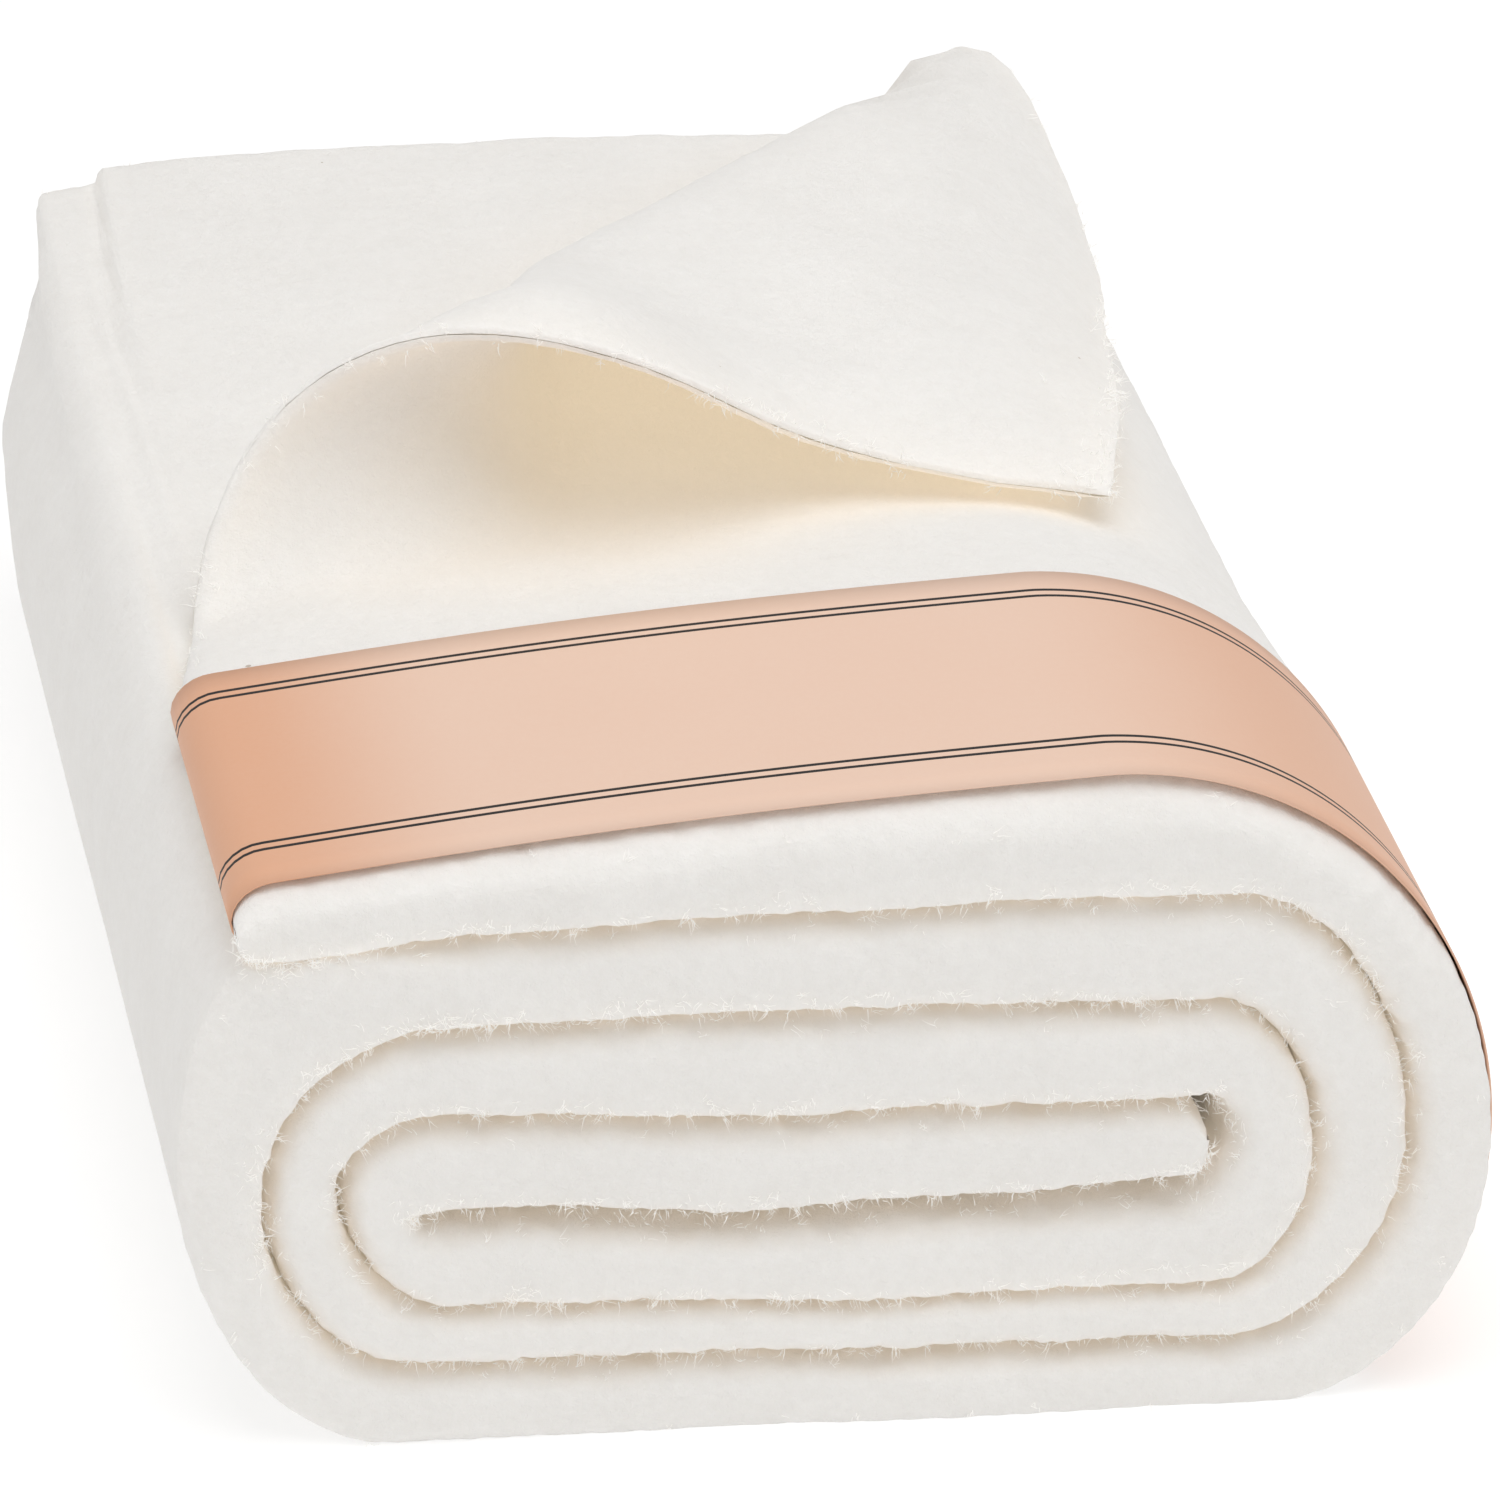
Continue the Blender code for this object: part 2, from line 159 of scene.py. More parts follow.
# The left shoulder behind the band: a low shelf on top, and a dent in the wall below it.
SHOULDER_DENT = dict(height=[52.0, 64.0, 73.0, 80.0, 86.0, 92.0], inward=[0.0, 1.5, 3.5, 1.5, -0.5, 0.0])
SHOULDER_FADE = (-70.0, 110.0)
SHELF_EDGE = dict(y=[-60.0, 30.0, 80.0, 145.0], x=[-89.0, -84.6, -81.6, -79.0])
SHELF_DROP = 2.8

# The left half is wound tighter at the back end: narrower by a share, and less so at the top.
NARROWED = 0.12
NARROWED_OVER = (90.0, 168.0)
NARROWED_TOP = 0.8
NARROWED_TOP_HEIGHT = (66.0, 84.0)

# The cut edges at both ends of the roll are puffy: a rounded section with a nearly flat face.
PUFF_DEPTH = dict(front=6.6, back=7.0)
PUFF_TOWARD = (-0.60, 0.62)      # the shares by which edges that face left and up are rounded more
PUFF_POWER = 2.15
MERGED_PUFF = 0.80               # how far the cut edges are flattened where the outer end meets the roll
MERGED_LEFT, MERGED_TOP = (60.0, 78.0), (26.0, 54.0)
MERGED_SWAY = 0.08               # over what share of a wrap the bare outside takes less unevenness
PUFF_STEPS = 22
ROWS = [9.5, 13.0, 21.0, 40.0, 62.0, 77.0, 110.0, 150.0, 190.0, 230.0, 265.0, 285.0, 296.0]
STATION_MM = 3.0
SHELF_STEP = 0.8                 # the same along the shelf
FINE_FRONT = 4                   # pieces that each station's edge is cut into at the front end
FINE_CORNER = 14                 # pieces that each long row is cut into on the outer end

# Unevenness: how far, and over what length.
SECTION_SWAY = dict(far=1.1, over=26.0)
FACE_SWAY = dict(far=1.3, over=34.0)
FACE_RIPPLE = dict(far=0.6, over=9.0)
LIP_TUFTS = dict(far=1.1, over=5.0)
LIP_LINT = dict(far=0.75, over=1.7)
LUMPS = dict(far=0.30, over=2.6)
BACK_CALM = 0.3                  # the back end's lips are smoother than the front end's, by this share

RAYS = 32
RAY_REACH = 45.0
PAINTED_GLOW_CORNER, PAINTED_GLOW_WRAPS = 0.33, 0.12   # strength of the painted glow where fully enclosed, which stands in for light coming through the cotton
PAINTED_GLOW_POWER = 1.3


def points_along(table, column, at):
    """A smooth curve through a table's column, read at the given places."""
    keys = np.array(table[next(iter(table))])
    values = np.array(table[column])
    slopes = np.gradient(values, keys)
    at = np.clip(at, keys[0], keys[-1])
    left = np.clip(np.searchsorted(keys, at, side="right") - 1, 0, len(keys) - 2)
    width = keys[left + 1] - keys[left]
    t = (at - keys[left]) / width
    return ((2 * t**3 - 3 * t**2 + 1) * values[left] + (t**3 - 2 * t**2 + t) * width * slopes[left]
            + (3 * t**2 - 2 * t**3) * values[left + 1] + (t**3 - t**2) * width * slopes[left + 1])


def ease(value, low, high):
    """0 below low, 1 above high, and smooth between them."""
    t = np.clip((value - low) / (high - low), 0.0, 1.0)
    return t * t * (3.0 - 2.0 * t)


def parting_run(index, shares, last=None):
    """A nearly straight run of the parting line, bulged outward by its crown."""
    start = np.array(INNER_END if index == 0 else FOLDS[index - 1][3])
    end = np.array(FOLDS[index][1] if last is None else last)
    crown = FOLDS[index][0] if index < len(FOLDS) else TOP_CROWN
    across = end - start
    outward = np.array([across[1], -across[0]]) / np.hypot(*across)
    return start + shares[:, None] * across + crown * np.sin(math.pi * shares)[:, None] * outward


def parting_fold(index, shares):
    """A fold of the parting line: two quarter ellipses, from its start round its reach to its end."""
    start, reach, end = (np.array(corner) for corner in FOLDS[index][1:])
    turn = math.pi * shares[:, None]
    near = np.where(turn < math.pi / 2, start, end)
    return np.hstack([near[:, :1] + (reach[0] - near[:, :1]) * np.sin(turn),
                      reach[1] + (near[:, 1:] - reach[1]) * np.abs(np.cos(turn))])


def parting_line(first, last, end):
    """The parting line from wrap first to wrap last, as counts, points and outward normals."""
    counts, points = [], []
    shares = np.linspace(0.0, 1.0, 161)[:-1]
    for index in range(first, last + 1):
        closing = index == last
        counts.append(index + shares * FLAT_SHARE)
        points.append(parting_run(index, shares, end if closing else None))
        if not closing:
            counts.append(index + FLAT_SHARE + shares * (1.0 - FLAT_SHARE))
            points.append(parting_fold(index, shares))
    counts = np.append(np.concatenate(counts), last + FLAT_SHARE)
    points = np.vstack([*points, [end]])
    tangent = np.gradient(points, axis=0)
    tangent /= np.linalg.norm(tangent, axis=1)[:, None]
    return counts, points, np.column_stack([tangent[:, 1], -tangent[:, 0]])


last_wrap = len(FOLDS) - 2
counts, inner_line, inner_out = parting_line(0, last_wrap, OUTER_END_LOW)
outer_counts, outer_line, outer_out = parting_line(2, last_wrap + 2, OUTER_END_TOP)
inside_line = inner_line + inner_out * PARTING / 2 + CENTRING
outside_line = outer_line - outer_out * PARTING / 2 + CENTRING
middle_line = (inside_line + outside_line) / 2
run = np.concatenate([[0.0], np.cumsum(np.hypot(*np.diff(middle_line, axis=0).T))])
SHEET_LENGTH = run[-1]

# The outer end, from the middle of the right wall on, is unrolled: u is counted from its left edge.
outer_end = counts >= last_wrap - 1 + (1.0 + FLAT_SHARE) / 2
base_line = inside_line[outer_end]
base_steps = np.hypot(*np.diff(base_line, axis=0).T)
base_u = LEFT_EDGE + np.concatenate([np.cumsum(base_steps[::-1])[::-1], [0.0]])
base_along = np.gradient(base_line, axis=0)
base_along /= np.linalg.norm(base_along, axis=1)[:, None]
base_out = np.column_stack([base_along[:, 1], -base_along[:, 0]])


def distance_to(line, origin, direction):
    """How far a ray runs from origin to a line of points."""
    ahead = line - origin
    side = direction[0] * ahead[:, 1] - direction[1] * ahead[:, 0]
    crossed = np.nonzero(side[:-1] * side[1:] <= 0.0)[0]
    share = side[crossed] / (side[crossed] - side[crossed + 1])
    reach = (ahead[crossed] + share[:, None] * (ahead[crossed + 1] - ahead[crossed])) @ direction
    return reach[reach > 0.0].min()


base_thick = np.array([distance_to(outside_line[outer_end], point, way)
                       for point, way in zip(base_line[:-4], base_out[:-4])])
base_thick = np.append(base_thick, [base_thick[-1]] * 4)


def on_base(values, u):
    """A value of the unrolled outer end, read at the places u."""
    return np.interp(u, base_u[::-1], values[::-1])


def curl(x, y):
    """Where the flat outer end's points go as its corner is turned back.

    Gives their new x and y, their height above the flat sheet, the angle that the sheet has turned
    through there, its normal, and how far past the line they are at which the curl starts.
    """
    axis = np.array([math.cos(CURL_ANGLE), math.sin(CURL_ANGLE)])
    toward = np.array([-math.sin(CURL_ANGLE), math.cos(CURL_ANGLE)])
    near_edge = np.clip(1.0 - (x - CURL_ORIGIN[0]) / EDGE_PULL_REACH, 0.0, 1.0)
    x = x + points_along(EDGE_DRAWN_IN, "inward", y) * near_edge
    across_x, across_y = x - CURL_ORIGIN[0], y - CURL_ORIGIN[1]
    along = across_x * axis[0] + across_y * axis[1]
    past = across_x * toward[0] + across_y * toward[1]
    start = points_along(CURL, "start", along)
    radius = points_along(CURL, "radius", along)
    full_turn = math.pi + points_along(CURL, "over_turn", along)

    # The bend is walked in small steps of arc, in units of the radius.
    goal = np.maximum(past - start, 0.0) / radius
    step = goal / ARC_STEPS
    angle, reach, rise = np.zeros_like(goal), np.zeros_like(goal), np.zeros_like(goal)
    for count in range(ARC_STEPS):
        reach += np.cos(angle) * step
        rise += np.sin(angle) * step
        bend = np.minimum((count + 0.5) * step / CURL_RAMP, 1.0)
        bend = np.minimum(bend, np.maximum(full_turn - angle, 0.0) / 0.5)
        angle += bend * step
    new_past = np.where(past > start, start + reach * radius, past)
    new_x = CURL_ORIGIN[0] + along * axis[0] + new_past * toward[0]
    new_y = CURL_ORIGIN[1] + along * axis[1] + new_past * toward[1]
    normal = np.stack([-np.sin(angle) * toward[0], -np.sin(angle) * toward[1], np.cos(angle)], axis=-1)
    return new_x, new_y, rise * radius, angle, normal, past - start


def rounded(distance, reach):
    """The share of full thickness at a distance from an end that is rounded over a reach."""
    return np.sqrt(np.clip(1.0 - (1.0 - np.clip(distance / reach, 0.0, 1.0))**2, 0.0, 1.0))


def wound_place(at_run, y, side):
    """Points of the wound part. side runs from -1 on the sheet's inside to 1 on its outside."""
    middle = np.column_stack([np.interp(at_run, run, middle_line[:, axis]) for axis in (0, 1)])
    half = np.column_stack([np.interp(at_run, run, (outside_line - middle_line)[:, axis]) for axis in (0, 1)])
    section = middle + half * (side * rounded(at_run, INNER_ROUND))[:, None]
    x, z = section[:, 0], section[:, 1]

    # The shoulder's dent and shelf are only on the left wall's outside.
    count = np.interp(at_run, run, counts)
    shoulder = ease(count, last_wrap - 3, last_wrap - 3 + 0.3) * ease(side, 0.0, 1.0) * (x < 0.0) * (z > SHOULDER_DENT["height"][0])
    shoulder = shoulder * ease(y, *SHOULDER_FADE)
    on_shelf = ease(points_along(SHELF_EDGE, "x", y) - x, 0.0, 1.6) * ease(z, 76.0, 82.0)
    return np.column_stack([x + shoulder * points_along(SHOULDER_DENT, "inward", z), y,
                            z - shoulder * SHELF_DROP * on_shelf])


def outer_place(u, y, side):
    """Points of the unrolled outer end, its corner turned back, and the angle turned through."""
    edge = np.minimum(u - LEFT_EDGE, LENGTH / 2 - y)
    edge_share = FREE_EDGE_SHARE + (1 - FREE_EDGE_SHARE) * ease(edge, 0.0, FREE_EDGE_REACH)
    behind = ease(y, BAND_BACK_EDGE, BAND_BACK_EDGE + 40.0)
    share = points_along(THIN_BEHIND_BAND, "share", y) * (1 + behind * (edge_share - 1))
    share += (1 - share) * ease(u, *FULL_THICKNESS)
    new_u, new_y, rise, angle, normal, lead = curl(u, y)
    below = on_base(base_thick, new_u) * points_along(THIN_BEHIND_BAND, "share", new_y)
    rise += ease(angle, 1.6, 2.6) * np.maximum(below + LIFT_CLEAR - rise, 0.0)
    thickness = on_base(base_thick, u) * share
    height = thickness / 2 + rise
    out_x, out_z = on_base(base_out[:, 0], new_u), on_base(base_out[:, 1], new_u)
    middle = np.column_stack([on_base(base_line[:, 0], new_u) + out_x * height, new_y,
                              on_base(base_line[:, 1], new_u) + out_z * height])
    lean = np.column_stack([normal[:, 0] * out_z + normal[:, 2] * out_x, normal[:, 1],
                            normal[:, 2] * out_z - normal[:, 0] * out_x])
    end_round = rounded(u - LEFT_EDGE, END_ROUND - (END_ROUND - CORNER_ROUND) * behind)
    end_round = np.where(side < 0.0, end_round**END_FLAT_BELOW, end_round)
    return middle + lean * (side * end_round * thickness / 2)[:, None], angle, lead


def unevenness(points, over, seed=0.0):
    """Smooth random numbers, three for each point, that change over a length."""
    return np.array([noise.noise_vector(Vector(point) / over + Vector((seed, seed, seed))) for point in points])


# The mesh is made as a flat grid of stations along the sheet and of rows round its section, and
# its points are then moved to their places on the wound sheet.
turn = np.linspace(-math.pi / 2, math.pi / 2, PUFF_STEPS + 1)
puff_side = np.sign(np.sin(turn)) * np.abs(np.sin(turn))**(2 / PUFF_POWER)
puff_depth = 1.0 - np.abs(np.cos(turn))**(2 / PUFF_POWER)
rows = np.array(ROWS)
loop_depth = np.concatenate([puff_depth * PUFF_DEPTH["front"], rows,
                             LENGTH - puff_depth[::-1] * PUFF_DEPTH["back"], rows[::-1],
                             [PUFF_DEPTH["front"]]])
loop_side = np.concatenate([puff_side, np.ones_like(rows), puff_side[::-1], -np.ones_like(rows), [-1.0]])
loop_steps = len(loop_depth) - 1
round_steps = END_ROUND * (1.0 - np.cos(np.linspace(0.0, math.pi / 2, 8)))
even_steps = np.linspace(END_ROUND, SHEET_LENGTH - END_ROUND, round(SHEET_LENGTH / STATION_MM))
shelf = (counts > last_wrap - 3) & (counts < last_wrap - 1) & (outside_line[:, 1] > 78.0) & (abs(outside_line[:, 0] + 85.0) < 8.0)
shelf_steps = np.arange(run[shelf][0], run[shelf][-1], SHELF_STEP)
even_steps = np.union1d(even_steps[(even_steps < shelf_steps[0]) | (even_steps > shelf_steps[-1])], shelf_steps)
stations = np.concatenate([round_steps, even_steps[1:-1], SHEET_LENGTH - round_steps[::-1]])

shell = bmesh.new()
bmesh.ops.create_grid(shell, x_segments=len(stations) - 1, y_segments=loop_steps, size=0.5)
for vert in shell.verts:
    vert.co.x = (vert.co.x + 0.5) * (len(stations) - 1)
    vert.co.y = (vert.co.y + 0.5) * loop_steps
front_edges = [edge for edge in shell.edges
               if abs(edge.verts[0].co.x - edge.verts[1].co.x) > 0.5
               and (edge.verts[0].co.y < PUFF_STEPS + 1.5 or edge.verts[0].co.y > loop_steps - 1.5)]
bmesh.ops.subdivide_edges(shell, edges=front_edges, cuts=FINE_FRONT - 1, use_grid_fill=True)
outer_from = np.searchsorted(stations, np.interp(counts[outer_end][0], counts, run))
corner_edges = []
for edge in shell.edges:
    low, high = sorted((edge.verts[0].co.y, edge.verts[1].co.y))
    length = abs(np.interp(high, range(loop_steps + 1), loop_depth) - np.interp(low, range(loop_steps + 1), loop_depth))
    if high - low > 0.9 and length > 25.0 and min(edge.verts[0].co.x, edge.verts[1].co.x) > outer_from + 1:
        corner_edges.append(edge)
bmesh.ops.subdivide_edges(shell, edges=corner_edges, cuts=FINE_CORNER - 1, use_grid_fill=True)

station_at = np.array([vert.co.x for vert in shell.verts])
loop_at = np.array([vert.co.y for vert in shell.verts])
at_run = np.interp(station_at, range(len(stations)), stations)
depth = np.interp(loop_at, range(loop_steps + 1), loop_depth)
side = np.interp(loop_at, range(loop_steps + 1), loop_side)
outer = station_at > outer_from
through = (outside_line - inside_line) / np.hypot(*(outside_line - inside_line).T)[:, None]
aside = 1.0 + np.interp(at_run, run, through @ PUFF_TOWARD) * np.sign(side)
line_x, line_z = (np.interp(at_run, run, outside_line[:, axis]) for axis in (0, 1))
wrap_count = np.interp(at_run, run, counts)
meets_end = np.where(side > 0.0, (wrap_count > last_wrap - 2) & (wrap_count < last_wrap - 1), wrap_count > last_wrap)
aside *= 1.0 - MERGED_PUFF * ease(-line_x, *MERGED_LEFT) * ease(line_z, *MERGED_TOP) * meets_end
y = np.where(depth < PUFF_DEPTH["front"], depth * aside, depth) - LENGTH / 2
squeezed = np.where(depth < PUFF_DEPTH["front"], 0.0, ease(depth, PUFF_DEPTH["front"], ROWS[1]))
y += np.where(depth < PUFF_DEPTH["front"], 0.0, (aside - 1.0) * PUFF_DEPTH["front"] * (1.0 - squeezed) * (depth < ROWS[1]))
places = wound_place(at_run, y, side)
outer_run = run[outer_end]
outer_u = np.interp(at_run[outer], outer_run, base_u)
outer_distance = SHEET_LENGTH - at_run
angle, lead = np.zeros_like(y), np.full_like(y, -100.0)
places[outer], angle[outer], lead[outer] = outer_place(outer_u, y[outer], side[outer])

low_share = 1.0 - NARROWED_TOP * ease(places[:, 2], *NARROWED_TOP_HEIGHT)
narrower = NARROWED * ease(places[:, 1], *NARROWED_OVER) * low_share
places[:, 0] *= np.where(places[:, 0] < 0.0, 1.0 - narrower, 1.0)

# Hand-wound unevenness: the section sways, and the cut face comes forward and back.
near_end = np.minimum(depth, LENGTH - depth)
bare_from = last_wrap - 2 + FLAT_SHARE
bare = ease(wrap_count, bare_from, bare_from + MERGED_SWAY) * ease(side, 0.0, 0.9)
exposed = bare > 0.0
sway = unevenness(places * (1.0, 0.15, 1.0), SECTION_SWAY["over"]) * SECTION_SWAY["far"]
sway_share = (0.15 * bare + (1.0 - bare) * (0.25 + 0.75 * np.exp(-near_end / 14.0)))[:, None]
lips = np.exp(-near_end / 4.0) * ease(np.abs(side), 0.45, 0.9) * (1.0 - bare)
lips *= np.where(depth > LENGTH / 2, BACK_CALM, 1.0)
tufts = unevenness(places, LIP_TUFTS["over"], 5.0) * LIP_TUFTS["far"] * lips[:, None]
tufts += unevenness(places, LIP_LINT["over"], 7.0) * LIP_LINT["far"] * lips[:, None]
on_table = ease(places[:, 2], 0.0, 12.0)
places += sway * sway_share * np.column_stack([np.ones_like(y), np.zeros_like(y), on_table])
places += tufts * np.column_stack([np.ones_like(y), np.ones_like(y), on_table])
face = unevenness(places, FACE_SWAY["over"], 11.0)[:, 1] * FACE_SWAY["far"]
face += unevenness(places, FACE_RIPPLE["over"], 23.0)[:, 1] * FACE_RIPPLE["far"]
places[:, 1] += face * np.exp(-near_end / 9.0)

for vert, place in zip(shell.verts, places):
    vert.co = place * MM
bare_layer = (side > 0.0) & (at_run > np.interp(last_wrap - 3, counts, run)) & (y > -40.0)
seen = (near_end < 16.0) | exposed | bare_layer | outer
free_edge = outer & (y > BAND_BACK_EDGE) & (np.minimum(outer_distance, LENGTH / 2 - y) < 2.5)
fuzziness = np.where(free_edge, 0.8, lips * 0.8 + 0.002)
# Painted glow: its strength where fully enclosed, larger in the turned-back corner than between the wraps.
painted_glow = np.where(outer & (y > BAND_BACK_EDGE), PAINTED_GLOW_CORNER, PAINTED_GLOW_WRAPS)
for name, values in dict(seen=seen, painted_glow=painted_glow, fuzz_share=fuzziness).items():
    layer = shell.verts.layers.float.new(name)
    for vert, value in zip(shell.verts, values):
        vert[layer] = float(value)
bmesh.ops.remove_doubles(shell, verts=shell.verts[:], dist=0.00002)
bmesh.ops.recalc_face_normals(shell, faces=shell.faces[:])
shell.normal_update()
lumps = [noise.noise(vert.co / (LUMPS["over"] * MM)) for vert in shell.verts]
for vert, lump in zip(shell.verts, lumps):
    vert.co += vert.normal * lump * LUMPS["far"] * MM

# How enclosed each point is by the sheet itself is read with rays. Enclosed places get painted shade, a warm tan in the
# base colour, and a faint painted glow in the emission that stands in for the light that comes through the thin cotton.
shell.normal_update()
sheet_tree = BVHTree.FromBMesh(shell)
turns = np.arange(RAYS) * math.pi * (3.0 - math.sqrt(5.0))
spread = np.sqrt((np.arange(RAYS) + 0.5) / RAYS)
rays = [Vector(ray) for ray in zip(spread * np.cos(turns), spread * np.sin(turns), np.sqrt(1.0 - spread**2))]
seen_layer, painted_glow_layer = shell.verts.layers.float["seen"], shell.verts.layers.float["painted_glow"]
enclosed = np.zeros(len(shell.verts))
for number, vert in enumerate(shell.verts):
    if vert[seen_layer] > 0.5:
        turned = vert.normal.to_track_quat("Z", "Y").to_matrix()
        origin = vert.co + vert.normal * 0.0004
        hits = [sheet_tree.ray_cast(origin, turned @ ray, RAY_REACH * MM)[0] for ray in rays]
        enclosed[number] = sum(hit is not None for hit in hits) / RAYS
ends = np.array([[vert.index for vert in edge.verts] for edge in shell.edges])
for smoothing in range(2):
    sums, met = enclosed.copy(), np.ones_like(enclosed)
    for here, there in ((0, 1), (1, 0)):
        np.add.at(sums, ends[:, here], enclosed[ends[:, there]])
        np.add.at(met, ends[:, here], 1.0)
    enclosed = sums / met
enclosed_layer = shell.verts.layers.float.new("enclosed")
for number, vert in enumerate(shell.verts):
    vert[enclosed_layer] = enclosed[number]
    vert[painted_glow_layer] *= enclosed[number]**PAINTED_GLOW_POWER
batting_mesh = bpy.data.meshes.new("batting_sheet")
shell.to_mesh(batting_mesh)
shell.free()
batting_mesh.shade_smooth()
batting = bpy.data.objects.new("batting_sheet", batting_mesh)
scene.collection.objects.link(batting)


class Value:
    """One socket of a finish's nodes. A sum written with it adds its Math nodes."""

    def __init__(self, finish, socket):
        self.finish, self.socket = finish, socket

    def math(self, operation, *parts):
        return self.finish.add("ShaderNodeMath", dict(operation=operation), dict(enumerate(parts)))

    def __add__(self, other):
        return self.math("ADD", self, other)

    def __radd__(self, other):
        return self.math("ADD", other, self)

    def __sub__(self, other):
        return self.math("SUBTRACT", self, other)

    def __rsub__(self, other):
        return self.math("SUBTRACT", other, self)

    def __mul__(self, other):
        return self.math("MULTIPLY", self, other)

    def __rmul__(self, other):
        return self.math("MULTIPLY", other, self)

    def __truediv__(self, other):
        return self.math("DIVIDE", self, other)

    def __lt__(self, other):
        return self.math("LESS_THAN", self, other)

    def __gt__(self, other):
        return self.math("GREATER_THAN", self, other)

    def __abs__(self):
        return self.math("ABSOLUTE", self)


class Finish:
    """A material, and the nodes of its surface."""

    def __init__(self, name, **shader_sockets):
        self.material = bpy.data.materials.new(name)
        self.material.use_nodes = True
        self.tree = self.material.node_tree
        self.shader = self.tree.nodes["Principled BSDF"]
        self.material.cycles.emission_sampling = "NONE"
        for socket, value in shader_sockets.items():
            self.feed(self.shader.inputs[socket.replace("_", " ")], value)

    def feed(self, socket, value):
        if isinstance(value, Value):
            self.tree.links.new(value.socket, socket)
        else:
            socket.default_value = value

    def add(self, kind, settings, sockets, output=0):
        node = self.tree.nodes.new(kind)
        for name, value in settings.items():
            if name == "stops":
                for stop, (place, colour) in enumerate(value):
                    element = node.color_ramp.elements[stop] if stop < 2 else node.color_ramp.elements.new(place)
                    element.position, element.color = place, colour
            else:
                setattr(node, name, value)
        for name, value in sockets.items():
            self.feed(node.inputs[name], value)
        return Value(self, node.outputs[output])

    def mix(self, factor, first, second):
        return self.add("ShaderNodeMix", dict(data_type="RGBA"), {0: factor, 6: first, 7: second}, 2)


COTTON, COTTON_SHADE = (0.90, 0.885, 0.86, 1.0), (0.85, 0.83, 0.80, 1.0)
# Next: the painted shade laid on enclosed places, and the colour of the painted glow there.
COTTON_PAINTED_SHADE, COTTON_PAINTED_GLOW = (0.83, 0.765, 0.695, 1.0), (0.70, 0.64, 0.50, 1.0)
SPECK = (0.30, 0.19, 0.09, 1.0)

cotton = Finish("cotton_batting", Roughness=0.95, Subsurface_Weight=0.35, Subsurface_Scale=0.006,
                Sheen_Weight=0.25, Sheen_Roughness=0.6, Specular_IOR_Level=0.15,
                Emission_Strength=1.0)
cotton.shader.subsurface_method = "BURLEY"
cotton.feed(cotton.shader.inputs["Subsurface Radius"], (1.0, 0.93, 0.82))
object_place = cotton.add("ShaderNodeTexCoord", {}, {}, "Object")
clouds = cotton.add("ShaderNodeTexNoise", {}, {"Vector": object_place, "Scale": 60.0, "Detail": 3.0})
tufts = cotton.add("ShaderNodeTexNoise", {}, {"Vector": object_place, "Scale": 420.0, "Detail": 4.0,
                                             "Roughness": 0.65})
fluff = cotton.add("ShaderNodeTexNoise", {}, {"Vector": object_place, "Scale": 1500.0, "Detail": 3.0,
                                             "Roughness": 0.7, "Distortion": 1.2})
enclosed_here = cotton.add("ShaderNodeAttribute", dict(attribute_name="enclosed"), {}, "Fac")
painted_glow_here = cotton.add("ShaderNodeAttribute", dict(attribute_name="painted_glow"), {}, "Fac")
speck_cells = {"Vector": object_place, "Scale": 75.0, "Randomness": 1.0}
speck_near = cotton.add("ShaderNodeTexVoronoi", {}, speck_cells, "Distance")
speck_pick = cotton.add("ShaderNodeSeparateColor", {},
                        {"Color": cotton.add("ShaderNodeTexVoronoi", {}, speck_cells, "Color")}, "Red")
speck = (speck_near < 0.035) * (speck_pick > 0.8)
plain = cotton.mix(clouds * 1.0 + tufts * 1.3 - 0.65, COTTON_SHADE, COTTON)
# Painted shade: the base colour turns warm tan where the rays found the sheet enclosed, in the gaps between wraps and
# in the turned-back corner's hollow.
painted_shade_share = cotton.add("ShaderNodeMapRange", {}, {"Value": enclosed_here, "From Min": 0.05, "From Max": 0.7})
with_painted_shade = cotton.mix(painted_shade_share, plain, COTTON_PAINTED_SHADE)
# Painted glow: emission in enclosed places stands in for light that comes through the thin cotton.
cotton.feed(cotton.shader.inputs["Emission Color"], cotton.mix(painted_glow_here, (0.0, 0.0, 0.0, 1.0), COTTON_PAINTED_GLOW))
cotton.feed(cotton.shader.inputs["Base Color"], cotton.mix(speck * 0.6, with_painted_shade, SPECK))
relief = clouds * 1.0 + tufts * 0.45 + fluff * 0.22
cotton.feed(cotton.shader.inputs["Normal"],
            cotton.add("ShaderNodeBump", {}, {"Strength": 0.7, "Distance": 0.0012, "Height": relief}))
batting_mesh.materials.append(cotton.material)
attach(batting, "root")
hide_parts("batting")


# The loose fibres.
# Short tufts of combed cotton stand out of the cut edges and the thin corner's rim. Each fibre is a
# fine bent tube that tapers to its tip.
TUFT_COUNT = 2300
TUFT_FIBRES = 4
TUFT_REACH = 0.9                 # how far apart a tuft's fibres start
FIBRE_LENGTH = (0.7, 2.4)
FIBRE_THICK = 0.075
FIBRE_POINTS = 3
FIBRE_STRAY = 0.75               # how far a fibre's way strays from its tuft's, and bends on its way
LINT = (0.93, 0.915, 0.885, 1.0)
LINT_PAINTED_GLOW = 0.16                 # painted glow, standing in for the light that comes through fibres as thin as these
